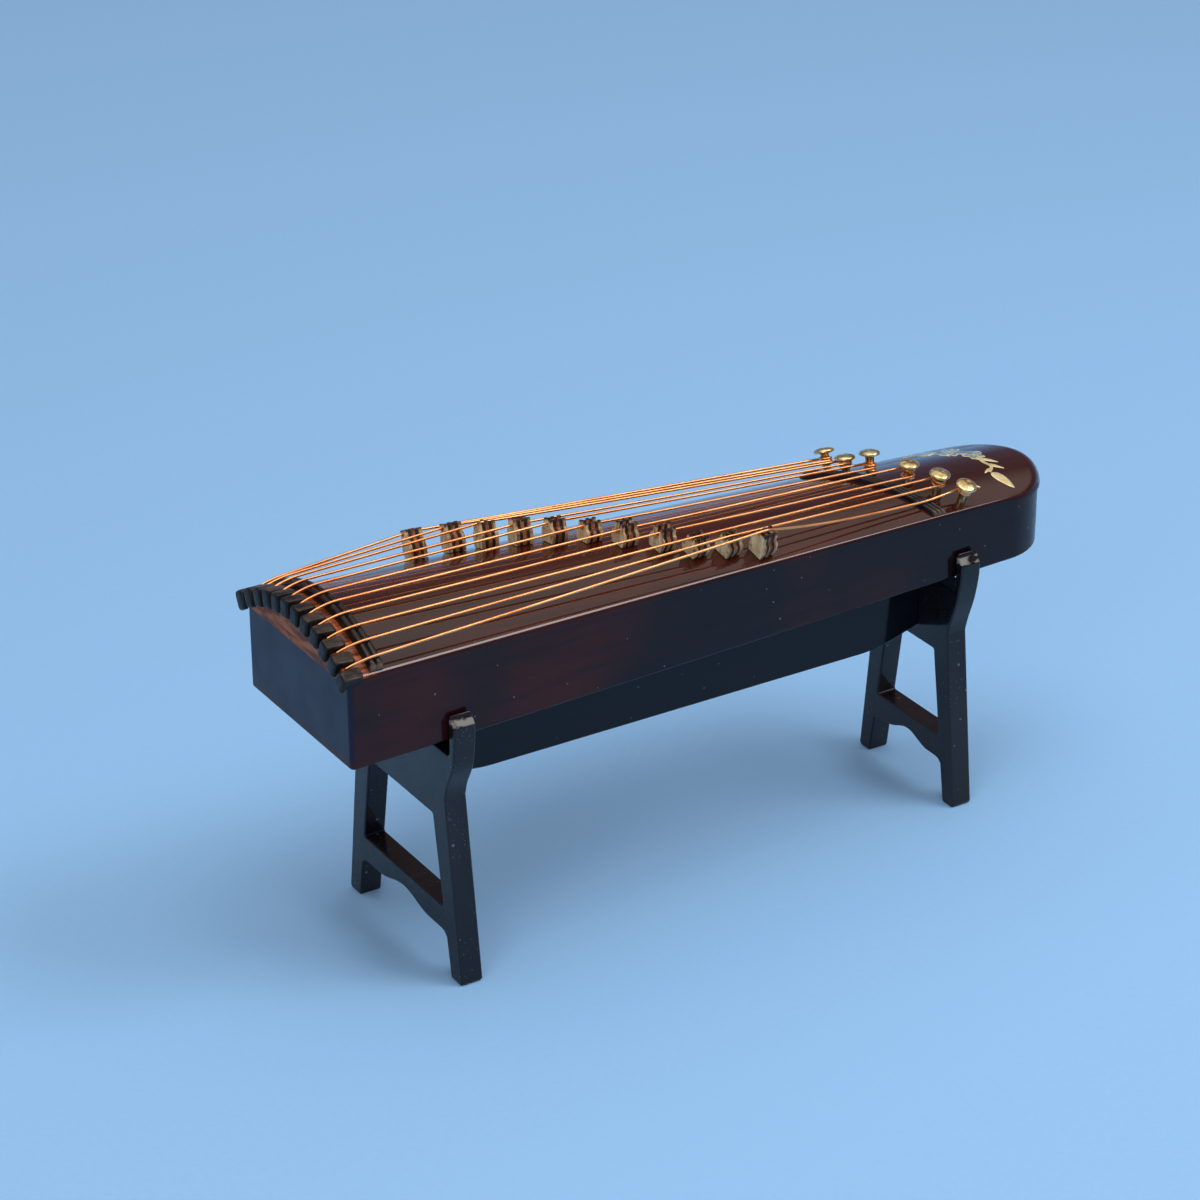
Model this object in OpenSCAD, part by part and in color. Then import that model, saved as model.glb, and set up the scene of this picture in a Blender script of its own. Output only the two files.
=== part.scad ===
// Miniature guzheng: a long board zither with a domed deck, lying in a two-frame stand.
// The foot of the stand is at z = 0, the head end is at -X and the rounded tail is at +X.
// Everything on the deck is placed in the deck's own frame: s runs along the crown line from
// the head end, y is across, and dz is the height above the domed surface.

/* [Instrument body] */
// Length of the body, head face to tail tip
body_l = 140.2; // [135:0.1:150]
// Width of the body at the head
head_w = 33.4; // [32:0.1:35]
// Radius of the rounded tail, seen from above
tail_r = 11.1; // [10.5:0.1:12]
// Height of the body's underside above the floor
under_z = 43.3; // [42:0.1:46]
// Thickness of the side boards and the head panel
board_t = 1.8; // [1.2:0.1:2.4]
// Thickness of the bottom board
bottom_t = 1.5; // [1:0.1:2]
// Length of the solid tail block that holds the nails
tail_block_l = 36; // [34:1:45]

/* [Deck] */
// Radius of the dome across the deck
deck_r = 31; // [30:0.5:34]
// Height of the crown at the head end
crown_z = 64; // [63.5:0.1:66]
// Slope of the crown line down to the tail, in degrees
crown_a = 2.96; // [2.5:0.02:3.2]
// Height of the flat underside of the deck at the head end
deck_under_z = 57.9; // [57:0.1:58.2]
// Slope of the flat underside, in degrees
deck_under_a = 1.68; // [1.4:0.02:1.8]
// How far the deck stands out past the body all round
deck_over = 0.3; // [0.1:0.1:0.6]

/* [Nuts and pegs] */
// Start of the head nut along the deck
head_nut_s = 4; // [3.8:0.1:6]
// Width of the head nut
head_nut_w = 2.3; // [2:0.1:3]
// Height of the head nut above the deck
head_nut_h = 1.4; // [1:0.05:1.5]
// Middle of the slanted tail nut along the deck
tail_nut_s = 108.5; // [106:0.5:110]
// Slant of the tail nut, in degrees
tail_nut_a = 24.7; // [20:0.1:30]
// Height of the tail nut above the deck
tail_nut_h = 0.8; // [0.6:0.05:1]
// Length of a string peg
peg_l = 3.6; // [3:0.1:3.8]
// Width of a string peg
peg_w = 2.4; // [1.8:0.1:2.5]
// How far the pegs stand out past the head face
peg_over = 1.3; // [0.8:0.1:1.6]

/* [Strings] */
// Number of strings, each with its own bridge
string_n = 11; // [11:1:11]
// Angle between neighbouring strings across the head, in degrees
string_step_a = 5.9; // [5.6:0.1:6]
// Radius of the copper wire
wire_r = 0.22; // [0.15:0.01:0.25]

/* [Bridges] */
// Place of the first bridge along the deck
bridge_s = 28.7; // [26:0.1:30]
// Spacing of the bridges along the deck
bridge_pitch = 5; // [4.9:0.1:5.2]
// Thickness of a bridge along the string
bridge_t = 3; // [2.6:0.1:3.8]
// Turn of the first bridge about its own upright axis, in degrees
bridge_turn = -9; // [-10:1:-5]
// Further turn of each next bridge, in degrees
bridge_turn_step = 1.8; // [1:0.1:2]

/* [Tuning nails] */
// Radius of a nail's shank
nail_r = 0.75; // [0.6:0.05:0.9]
// Radius of a nail's head
nail_head_r = 1.8; // [1.5:0.05:1.9]
// Depth of a nail in the wood
nail_depth = 5; // [4:0.5:6]

/* [Stand] */
// Distance between the outer faces of the two frames that face the head
frame_gap = 100; // [96:1:104]
// Distance of the first frame from the head face
frame_start = 17.2; // [16:0.1:20]
// Thickness of the frame boards and of the beam
frame_t = 3.9; // [3.5:0.1:4.2]
// Height of a frame's arms
arm_z = 47.9; // [47:0.1:49]
// Thickness of an arm
arm_t = 1.75; // [1.5:0.05:2]
// Height of the top of the rails
rail_z = 40.6; // [40:0.1:41]
// Height of the rails' lower edge
rail_under_z = 27.8; // [26:0.1:29]
// Height of the stretchers' top edge
stretcher_z = 12.2; // [11:0.1:13]

/* [Hidden] */
$fn = 96;
overall_l = body_l + peg_over;
head_x = peg_over - overall_l / 2;
tail_x = overall_l / 2;
tail_cx = tail_x - tail_r;
side_a = atan2(head_w / 2, tail_cx - head_x) - asin(tail_r / norm([head_w / 2, tail_cx - head_x]));
block_x = tail_x - tail_block_l;
far = 200;

// Clearances: the body on its beam and between the arms, and a bridge on the deck
seat_gap = 0.04;
arm_gap = 0.25;
bridge_gap = 0.05;
string_gap = 0.03;

// Length cut off each side of a bend in a string
bend_cut = 0.5;

// The bridges from the far side to the near side, set by hand: height, shift along the deck from an
// even spacing, and shift across the deck from the straight line of the string
bridge_h = [5, 4.8, 4.4, 4.4, 3.95, 3.45, 4, 4.1, 3.65, 3.75, 4.6];
bridge_shift_s = [0.7, 1.1, 0.6, 0.3, 0.3, 0.2, -0.5, -0.5, -1.1, -0.7, -0.2];
bridge_shift_y = [0, 0, 0, 0, 0, 0, 0, -0.9, -1.1, -0.3, 0];
notch_w = 1.1;
notch_slack = 0.4;

// Heights of the strings above the deck at their bridges and at their nails
string_dz = [4.5, 4.25, 4.15, 3.4, 3.35, 2.7, 2.65, 2.95, 3.3, 3.35, 4.85];
string_end_dz = [2.4, 2.1, 1.9, 1.7, 1.4, 1.05, 2.2, 1.3, 2.1, 1.9, 1.85];

// The nails: place along and across the deck and height of the top; two strings share all but the last
nail_s = [106.9, 108.4, 111, 114.2, 117, 119.6];
nail_y = [10.8, 7.6, 4.4, -1.8, -6.3, -9.8];
nail_h = [4.4, 3.2, 4.1, 3.8, 4, 4];
nail_head_t = 0.75;
nail_rim = 0.2;
winding_under = 2.25;
winding_n = 3;
winding_pitch = 2 * wire_r + 0.03;
peg_top = 1.2;
peg_under = 0.8;
peg_soft = 0.45;
peg_drop = 2.1;

// The two frames: the foot's outer and inner edge, the window's upper corner and the waist
frame_x = [head_x + frame_start, head_x + frame_start + frame_gap];
foot_out = [18.6, 13.9];
foot_in = [15, 10.7];
window_in = [10.3, 6.6];
waist_out = [14.4, 10.4];
waist_z = 32;
kink_z = 38.6;
kink_in = 0.85;
foot_soft = 0.5;

// ---- Helpers ----

// Half the body's width at x, along the straight sides
function half_w(x) = head_w / 2 - tan(side_a) * (x - head_x);

// A point above the deck in the part's own frame
function deck_pt(s, y, dz) =
    let (t = asin(y / deck_r), across = (deck_r + dz) * sin(t), up = (deck_r + dz) * cos(t) - deck_r)
    [head_x + s * cos(crown_a) + up * sin(crown_a), across, crown_z - s * sin(crown_a) + up * cos(crown_a)];

// The deck's own frame: the origin is the crown at the head end
module deck_frame() {
    translate([head_x, 0, crown_z]) rotate([0, crown_a, 0]) children();
}

// Places its children on the deck at s and y, upright on the dome
module on_deck(s, y) {
    deck_frame() translate([s, 0, -deck_r]) rotate([-asin(y / deck_r), 0, 0]) translate([0, 0, deck_r])
        children();
}

// The solid cylinder under the dome, grown by dz
module dome(dz, s0, s1) {
    deck_frame() translate([s0, 0, -deck_r]) rotate([0, 90, 0]) cylinder(r = deck_r + dz, h = s1 - s0);
}

// The body's outline as an upright prism: tapered sides and a round tail
module outline(grow, z0, z1) {
    tangent = [tail_cx + (tail_r + grow) * sin(side_a), (tail_r + grow) * cos(side_a)];
    start = [head_x - grow, half_w(head_x - grow) + grow / cos(side_a)];
    translate([0, 0, z0]) linear_extrude(z1 - z0)
        polygon([start, tangent, [tangent.x, -tangent.y], [start.x, -start.y]]);
    translate([tail_cx, 0, z0]) cylinder(r = tail_r + grow, h = z1 - z0);
}

// Everything below the deck's flat underside and above z0
module under_deck(z0) {
    intersection() {
        translate([head_x, 0, deck_under_z]) rotate([0, deck_under_a, 0]) translate([-far / 2, -far / 2, -far])
            cube([2 * far, far, far]);
        translate([-far, -far / 2, z0]) cube([2 * far, far, far]);
    }
}

function unit(v) = v / norm(v);

// A route with each of its corners cut at the distance cut on both sides
function eased(route, cut) = let (last = len(route) - 1) [
    route[0],
    for (i = [1:last - 1]) each [route[i] + cut * unit(route[i - 1] - route[i]),
                                 route[i] + cut * unit(route[i + 1] - route[i])],
    route[last]];

// A round wire along a route that runs mostly along X
module wire(route) {
    sides = 8;
    last = len(route) - 1;
    rings = [for (i = [0:last])
        let (ahead = unit(route[min(i + 1, last)] - route[max(i - 1, 0)]),
             across = unit(cross([0, 0, 1], ahead)),
             up = cross(ahead, across))
        for (k = [0:sides - 1]) route[i] + wire_r * (cos(360 * k / sides) * across + sin(360 * k / sides) * up)];
    walls = [for (i = [0:last - 1]) for (k = [0:sides - 1])
        let (next = (k + 1) % sides)
        [i * sides + k, (i + 1) * sides + k, (i + 1) * sides + next, i * sides + next]];
    ends = [[for (k = [0:sides - 1]) k], [for (k = [sides - 1:-1:0]) last * sides + k]];
    polyhedron(rings, concat(walls, ends));
}

// An outline in Y and Z, extruded along X
module along_x(x, t) {
    translate([x, 0, 0]) rotate([90, 0, 90]) linear_extrude(t) children();
}

// ---- Stand ----

// The lower edge of a stretcher: level at the legs, lifted in a soft wave in the middle
function stretcher_under(y, span) = 7.7 + 0.8 * (1 + cos(180 * min(abs(y) / span, 1)));

// The outer edge of one leg and arm, from the foot up, for the frame k
function leg_edge(k, arm_out) = [
    [foot_out[k] - foot_soft, 0],
    [foot_out[k], foot_soft],
    [waist_out[k], waist_z],
    [(waist_out[k] + arm_out - kink_in) / 2 + 0.15, (waist_z + kink_z) / 2],
    [arm_out - kink_in, kink_z],
    [arm_out - 0.2, 43],
    [arm_out, 46],
    [arm_out - 0.3, arm_z - 0.5],
    [arm_out - arm_t / 2, arm_z],
    [arm_out - arm_t + 0.1, arm_z - 0.6],
    [arm_out - arm_t, 46],
    [arm_out - arm_t, rail_z + 0.8],
    [arm_out - arm_t - 0.5, rail_z]];

function mirrored(points) = [for (i = [len(points) - 1:-1:0]) [-points[i].x, points[i].y]];

// The space between the feet, below the stretcher
function foot_gap(k) =
    let (slope = (foot_in[k] - window_in[k]) / rail_under_z, span = 0.55 * foot_in[k], edge = foot_in[k] - 8 * slope)
    concat([[foot_in[k] + slope, -1], [foot_in[k] - 6.9 * slope, 6.9], [edge - 1.2, 7.65]],
        [for (u = [1:-0.125:-1]) [u * span, stretcher_under(u * span, span)]],
        [[1.2 - edge, 7.65], [6.9 * slope - foot_in[k], 6.9], [-foot_in[k] - slope, -1]]);

module stand_frame(k) {
    arm_out = half_w(frame_x[k]) + arm_gap + arm_t;
    edge = leg_edge(k, arm_out);
    window_low = foot_in[k] - (foot_in[k] - window_in[k]) * stretcher_z / rail_under_z;
    window = [[window_low, stretcher_z], [window_in[k], rail_under_z]];
    color("#10131c") along_x(frame_x[k], frame_t) difference() {
        polygon(concat(edge, mirrored(edge)));
        polygon(concat(window, mirrored(window)));
        polygon(foot_gap(k));
    }
}

// The beam between the frames: it lies over both rails, carries the body and lifts at its ends
module stand_beam() {
    x0 = frame_x[0] + frame_t;
    x1 = frame_x[1];
    lift = 2.6;
    lift_l = 12;
    under = [for (u = [0:0.25:1]) [x1 - lift_l * (1 - u), rail_under_z + lift * (1 - cos(90 * u))]];
    under_head = [for (u = [1:-0.25:0]) [x0 + lift_l * (1 - u), rail_under_z + lift * (1 - cos(90 * u))]];
    color("#10131c") translate([0, frame_t / 2, 0]) rotate([90, 0, 0]) linear_extrude(frame_t)
        polygon(concat(under_head, under, [[x1, rail_z], [x1 + frame_t, rail_z],
            [x1 + frame_t, under_z - seat_gap], [frame_x[0], under_z - seat_gap],
            [frame_x[0], rail_z], [x0, rail_z]]));
}

// ---- Body ----

module bottom_board() {
    color("#2a1a1e") outline(0, under_z, under_z + bottom_t);
}

// One side board, on the side given by the sign of y
module side_board(side) {
    x0 = head_x + board_t;
    color("#35212a") intersection() {
        under_deck(under_z + bottom_t);
        translate([0, 0, under_z]) linear_extrude(far / 4) polygon([
            [x0, side * half_w(x0)], [block_x, side * half_w(block_x)],
            [block_x, side * (half_w(block_x) - board_t)], [x0, side * (half_w(x0) - board_t)]]);
    }
}

module head_panel() {
    color("#2b3045") intersection() {
        under_deck(under_z + bottom_t);
        translate([head_x, -head_w, 0]) cube([board_t, 2 * head_w, far]);
        outline(0, under_z, crown_z);
    }
}

module tail_block() {
    color("#35212a") difference() {
        intersection() {
            under_deck(under_z + bottom_t);
            translate([block_x, -head_w, 0]) cube([far, 2 * head_w, far]);
            outline(0, under_z, crown_z);
        }
        nail_shanks();
    }
}

// A rib inside the body, at x, from the bottom board to the deck
module sound_rib(x) {
    y = half_w(x + bottom_t) - board_t;
    color("#b08355") intersection() {
        under_deck(under_z + bottom_t);
        translate([x, -y, 0]) cube([bottom_t, 2 * y, far]);
    }
}

module soundboard() {
    color("#4a1d16") difference() {
        intersection() {
            outline(deck_over, under_z, crown_z + 1);
            dome(0, -far / 10, body_l + far / 10);
        }
        under_deck(0);
        peg_set(0);
        nail_shanks();
    }
}

// A flat sprig of leaves and blossoms, in a plan of its own, that is laid on the dome of the tail
module sprig() {
    stem_r = 9;
    stem_low = 5;
    difference() {
        circle(r = stem_r);
        circle(r = stem_r - 0.5);
        translate([-2 * stem_r, -stem_r]) square([2 * stem_r, 2 * stem_r]);
        translate([0, -stem_low - stem_r]) square(stem_r);
    }
    for (a = [-14, 62, 80]) rotate(a) translate([stem_r, 0]) leaf(3.2);
    for (a = [18, 42]) rotate(a) translate([stem_r, 0]) blossom(1.9);
    translate([stem_r - 0.6, -stem_low - 1.6]) rotate(70) leaf(4.6);
}

module leaf(l) {
    rotate(35) intersection() {
        translate([0, -l * 0.35]) circle(r = l * 0.6);
        translate([0, l * 0.35]) circle(r = l * 0.6);
    }
}

module blossom(r) {
    for (a = [0:72:288]) rotate(a) translate([r * 0.6, 0]) circle(r = r * 0.48);
}

module tail_inlay() {
    thick = 0.08;
    sprig_back = 7.2;
    color("#e4d49a") difference() {
        intersection() {
            translate([tail_cx - sprig_back, 0, under_z]) linear_extrude(far / 5) sprig();
            dome(thick, body_l - 30, body_l + 5);
        }
        dome(0, body_l - 40, body_l + 15);
    }
}

// ---- Nuts, pegs and nails ----

module head_nut() {
    groove = 0.4;
    color("#1c1614") intersection() {
        outline(0, under_z, far / 2);
        difference() {
            dome(head_nut_h, head_nut_s, head_nut_s + head_nut_w);
            dome(0, head_nut_s - 1, head_nut_s + head_nut_w + 1);
            difference() {
                dome(2, head_nut_s + (head_nut_w - groove) / 2, head_nut_s + (head_nut_w + groove) / 2);
                dome(head_nut_h / 2, head_nut_s, head_nut_s + head_nut_w);
            }
        }
    }
}

// An upright slab along the slant of the tail nut
module tail_slab(offset, w) {
    deck_frame() translate([tail_nut_s, 0, -10]) rotate([0, 0, tail_nut_a]) translate([offset - w / 2, -far / 4, 0])
        cube([w, far / 2, 20]);
}

module tail_nut() {
    rib_w = 0.55;
    rib_pitch = 0.85;
    color("#1c1614") intersection() {
        outline(0, under_z, far / 2);
        difference() {
            dome(tail_nut_h, tail_nut_s - 20, tail_nut_s + 20);
            dome(0, tail_nut_s - 21, tail_nut_s + 21);
            difference() {
                for (u = [-0.5, 0.5]) tail_slab(u * rib_pitch, rib_pitch - rib_w);
                dome(tail_nut_h / 2, tail_nut_s - 20, tail_nut_s + 20);
            }
        }
        tail_slab(0, 2 * rib_pitch + rib_w);
    }
}

// The row of pegs between the strings at the head end
module peg_set(soft) {
    for (j = [0:string_n]) deck_frame() translate([0, 0, -deck_r])
        rotate([-(j - string_n / 2) * string_step_a, 0, 0]) translate([-peg_over, 0, deck_r]) peg(soft);
}

// One peg, with soft upper edges. Its head hangs lower, in front of the end of the deck
module peg(soft) {
    peg_block(peg_l, peg_under, soft);
    peg_block(peg_over - deck_over, peg_drop, soft);
}

module peg_block(l, under, soft) {
    w = peg_w / 2;
    along_x(0, l) polygon([[-w, -under], [w, -under], [w, peg_top - soft], [w - soft, peg_top],
        [soft - w, peg_top], [-w, peg_top - soft]]);
}

module string_pegs() {
    color("#1a1c24") peg_set(peg_soft);
}

module nail_shanks() {
    for (n = [0:len(nail_y) - 1]) on_deck(nail_s[n], nail_y[n]) translate([0, 0, -nail_depth])
        cylinder(r = nail_r, h = nail_depth + 1);
}

module tuning_nails() {
    cap_r = (nail_head_r * nail_head_r + nail_head_t * nail_head_t) / (2 * nail_head_t);
    color("#c9a860") for (n = [0:len(nail_y) - 1]) on_deck(nail_s[n], nail_y[n]) {
        translate([0, 0, -nail_depth]) cylinder(r = nail_r, h = nail_depth + nail_h[n] - nail_head_t);
        translate([0, 0, nail_h[n] - nail_head_t - nail_rim]) cylinder(r = nail_head_r, h = nail_rim);
        intersection() {
            translate([0, 0, nail_h[n] - cap_r]) sphere(r = cap_r);
            translate([0, 0, nail_h[n] - nail_head_t]) cylinder(r = nail_head_r, h = 2);
        }
    }
}

// Closed turns of wire round each nail
module string_windings() {
    color("#c46a34") for (n = [0:len(nail_y) - 1]) on_deck(nail_s[n], nail_y[n]) for (k = [0:winding_n - 1])
        translate([0, 0, nail_h[n] - winding_under + k * winding_pitch]) rotate_extrude()
            translate([nail_r + wire_r, 0]) circle(r = wire_r);
}

// ---- Strings and bridges ----

// Across the deck: a string starts between two pegs, crosses its bridge and ends at one side of its nail
function string_y0(i) = deck_r * sin(((string_n - 1) / 2 - i) * string_step_a);
function string_y1(i) = nail_y[floor(i / 2)] + (i % 2 == 0 ? 1 : -1) * (nail_r + wire_r);
function string_s1(i) = nail_s[floor(i / 2)];
function straight_y(i, s) = string_y0(i) + (string_y1(i) - string_y0(i)) * s / string_s1(i);
function string_y(i, s) = straight_y(i, s) + bridge_shift_y[i]
    * (s < bridge_at(i) ? s / bridge_at(i) : (string_s1(i) - s) / (string_s1(i) - bridge_at(i)));

function bridge_at(i) = bridge_s + bridge_pitch * i + bridge_shift_s[i];

// Where a string crosses the slanted tail nut, and how high: clear of it on a straight line, or on it,
// as the last string always is
function tail_nut_at(i) = tail_nut_s - tan(tail_nut_a) * string_y(i, tail_nut_s);
function straight_dz(i, s) = string_end_dz[i]
    + (string_dz[i] - string_end_dz[i]) * (string_s1(i) - s) / (string_s1(i) - bridge_at(i));
function tail_nut_dz(i) = max(tail_nut_h + wire_r + string_gap, i < string_n - 1 ? straight_dz(i, tail_nut_at(i)) : 0);

function string_route(i) = [
    for (p = [[0.5, wire_r + 0.1], [1.9, 0.8], [head_nut_s - 0.6, head_nut_h + wire_r + string_gap],
              [bridge_at(i), string_dz[i]], [tail_nut_at(i), tail_nut_dz(i)], [string_s1(i), string_end_dz[i]]])
    deck_pt(p[0], string_y(i, p[0]), p[1])];

module string(i) {
    color("#d98a4a") wire(eased(string_route(i), bend_cut));
}

// The outline of a bridge: a broad foot, shoulders and a neck
module bridge_shape(h) {
    foot = 1.6;
    belly = 1.85;
    neck = 1.1;
    half = [[foot, bridge_gap], [belly, 0.34 * h], [belly - 0.15, 0.58 * h], [neck + 0.1, 0.64 * h],
        [neck, 0.9 * h], [neck - 0.2, h]];
    polygon(concat(half, mirrored(half)));
}

module bridge(i) {
    h = bridge_h[i];
    floor_z = string_dz[i] - wire_r - notch_slack;
    s = bridge_at(i);
    color("#d8c69c") on_deck(s, string_y(i, s)) difference() {
        rotate([0, 0, bridge_turn + i * bridge_turn_step]) along_x(-bridge_t / 2, bridge_t) bridge_shape(h);
        translate([-bridge_t, -notch_w / 2, floor_z]) cube([2 * bridge_t, notch_w, h]);
    }
}

stand_frame(0);  // stand_frame_head
stand_frame(1);  // stand_frame_tail
stand_beam();
bottom_board();
side_board(-1);  // side_board_near
side_board(1);  // side_board_far
head_panel();
tail_block();
sound_rib(head_x + body_l / 4);  // sound_rib_head
sound_rib(head_x + body_l / 2);  // sound_rib_tail
soundboard();
tail_inlay();
head_nut();
tail_nut();
string_pegs();
tuning_nails();
string_windings();
string(0);  // string_01
string(1);  // string_02
string(2);  // string_03
string(3);  // string_04
string(4);  // string_05
string(5);  // string_06
string(6);  // string_07
string(7);  // string_08
string(8);  // string_09
string(9);  // string_10
string(10);  // string_11
bridge(0);  // bridge_01
bridge(1);  // bridge_02
bridge(2);  // bridge_03
bridge(3);  // bridge_04
bridge(4);  // bridge_05
bridge(5);  // bridge_06
bridge(6);  // bridge_07
bridge(7);  // bridge_08
bridge(8);  // bridge_09
bridge(9);  // bridge_10
bridge(10);  // bridge_11
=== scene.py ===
"""The looks of the miniature guzheng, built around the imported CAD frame.

Shapes are worked out in millimetres in the part's own frame, as in part.scad, and turned into metres
in piece(). The deck has a frame of its own: s runs along the crown line from the head end, y is across,
and dz is the height above the domed surface.
"""

import math
import random

import bmesh
import bpy
from mathutils import Matrix, Vector, noise
from mathutils.geometry import tessellate_polygon


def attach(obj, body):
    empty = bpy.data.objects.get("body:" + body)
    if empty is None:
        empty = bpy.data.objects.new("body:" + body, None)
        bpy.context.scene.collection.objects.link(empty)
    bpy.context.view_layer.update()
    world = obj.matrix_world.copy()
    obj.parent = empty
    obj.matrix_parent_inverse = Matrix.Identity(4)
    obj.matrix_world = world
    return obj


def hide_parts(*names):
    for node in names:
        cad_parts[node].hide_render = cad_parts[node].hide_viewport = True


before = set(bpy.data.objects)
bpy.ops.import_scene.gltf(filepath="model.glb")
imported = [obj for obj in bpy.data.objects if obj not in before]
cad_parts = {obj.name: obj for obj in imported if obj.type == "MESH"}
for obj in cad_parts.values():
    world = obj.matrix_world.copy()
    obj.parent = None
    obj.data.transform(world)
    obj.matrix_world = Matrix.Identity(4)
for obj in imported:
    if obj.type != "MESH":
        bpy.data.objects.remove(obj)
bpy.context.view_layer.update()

MM = 0.001
rng = random.Random(11)

# ---- Sizes shared with the CAD source ----

BODY_L, HEAD_W, TAIL_R = 140.2, 33.4, 11.1
UNDER_Z, BOARD_T, BOTTOM_T, TAIL_BLOCK_L = 43.3, 1.8, 1.5, 36.0
DECK_R, CROWN_Z, CROWN_A = 31.0, 64.0, math.radians(2.96)
DECK_UNDER_Z, DECK_UNDER_A, DECK_OVER = 57.9, math.radians(1.68), 0.3
HEAD_NUT_S, HEAD_NUT_W, HEAD_NUT_H = 4.0, 2.3, 1.4
TAIL_NUT_S, TAIL_NUT_A, TAIL_NUT_H = 108.5, math.radians(24.7), 0.8
PEG_L, PEG_W, PEG_OVER, PEG_TOP, PEG_UNDER, PEG_DROP = 3.6, 2.4, 1.3, 1.2, 0.8, 2.1
STRING_N, STEP_A, WIRE_R = 11, math.radians(5.9), 0.22
BRIDGE_S, BRIDGE_PITCH, BRIDGE_T = 28.7, 5.0, 3.0
BRIDGE_TURN, BRIDGE_TURN_STEP = -9.0, 1.8
BRIDGE_H = [5, 4.8, 4.4, 4.4, 3.95, 3.45, 4, 4.1, 3.65, 3.75, 4.6]
BRIDGE_SHIFT_S = [0.7, 1.1, 0.6, 0.3, 0.3, 0.2, -0.5, -0.5, -1.1, -0.7, -0.2]
BRIDGE_SHIFT_Y = [0, 0, 0, 0, 0, 0, 0, -0.9, -1.1, -0.3, 0]
STRING_DZ = [4.5, 4.25, 4.15, 3.4, 3.35, 2.7, 2.65, 2.95, 3.3, 3.35, 4.85]
STRING_END_DZ = [2.4, 2.1, 1.9, 1.7, 1.4, 1.05, 2.2, 1.3, 2.1, 1.9, 1.85]
NAIL_S = [106.9, 108.4, 111, 114.2, 117, 119.6]
NAIL_Y = [10.8, 7.6, 4.4, -1.8, -6.3, -9.8]
NAIL_H = [4.4, 3.2, 4.1, 3.8, 4, 4]
NAIL_R, NAIL_HEAD_R = 0.75, 1.8
WINDING_PITCH = 0.47
FRAME_T, ARM_Z, ARM_T, ARM_GAP = 3.9, 47.9, 1.75, 0.25
RAIL_Z, RAIL_UNDER_Z, STRETCHER_Z = 40.6, 27.8, 12.2
FOOT_OUT, FOOT_IN = [18.6, 13.9], [15.0, 10.7]
WINDOW_IN, WAIST_OUT, WAIST_Z = [10.3, 6.6], [14.4, 10.4], 32.0
KINK_Z, KINK_IN, FOOT_SOFT = 38.6, 0.85, 0.5
SEAT_GAP = 0.04

OVERALL_L = BODY_L + PEG_OVER
HEAD_X = PEG_OVER - OVERALL_L / 2
TAIL_X = OVERALL_L / 2
TAIL_CX = TAIL_X - TAIL_R
SIDE_RUN = TAIL_CX - HEAD_X
SIDE_A = math.atan2(HEAD_W / 2, SIDE_RUN) - math.asin(TAIL_R / math.hypot(HEAD_W / 2, SIDE_RUN))
BLOCK_X = TAIL_X - TAIL_BLOCK_L
FRAME_X = [HEAD_X + 17.2, HEAD_X + 117.2]


def half_w(x):
    """Half the body's width at x, along the straight sides."""
    return HEAD_W / 2 - math.tan(SIDE_A) * (x - HEAD_X)


def deck_turned(s, turn, dz, aside=0.0):
    """A point at the angle turn round the dome's axis, dz above it and aside along it."""
    across = (DECK_R + dz) * math.sin(turn) + aside * math.cos(turn)
    up = (DECK_R + dz) * math.cos(turn) - aside * math.sin(turn) - DECK_R
    return Vector(
        (
            HEAD_X + s * math.cos(CROWN_A) + up * math.sin(CROWN_A),
            across,
            CROWN_Z - s * math.sin(CROWN_A) + up * math.cos(CROWN_A),
        )
    )


def deck_pt(s, y, dz):
    return deck_turned(s, math.asin(y / DECK_R), dz)


def on_deck(s, y):
    """The matrix that stands a shape on the deck at s and y, upright on the dome."""
    return (
        Matrix.Translation((HEAD_X, 0, CROWN_Z))
        @ Matrix.Rotation(CROWN_A, 4, "Y")
        @ Matrix.Translation((s, 0, -DECK_R))
        @ Matrix.Rotation(-math.asin(y / DECK_R), 4, "X")
        @ Matrix.Translation((0, 0, DECK_R))
    )


def dome_z(x, y, dz=0.0):
    """The height of the surface dz above the dome, over a point in plan."""
    up = math.sqrt((DECK_R + dz) ** 2 - y * y) - DECK_R
    s = (x - HEAD_X - up * math.sin(CROWN_A)) / math.cos(CROWN_A)
    return CROWN_Z - s * math.sin(CROWN_A) + up * math.cos(CROWN_A)


def under_z(x):
    """The height of the deck's flat underside."""
    return DECK_UNDER_Z - math.tan(DECK_UNDER_A) * (x - HEAD_X)


def ease(lo, hi, x):
    """0 at lo, 1 at hi, smooth between; lo may be above hi."""
    t = min(max((x - lo) / (hi - lo), 0.0), 1.0)
    return t * t * (3 - 2 * t)


# ---- Mesh helpers ----


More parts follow.
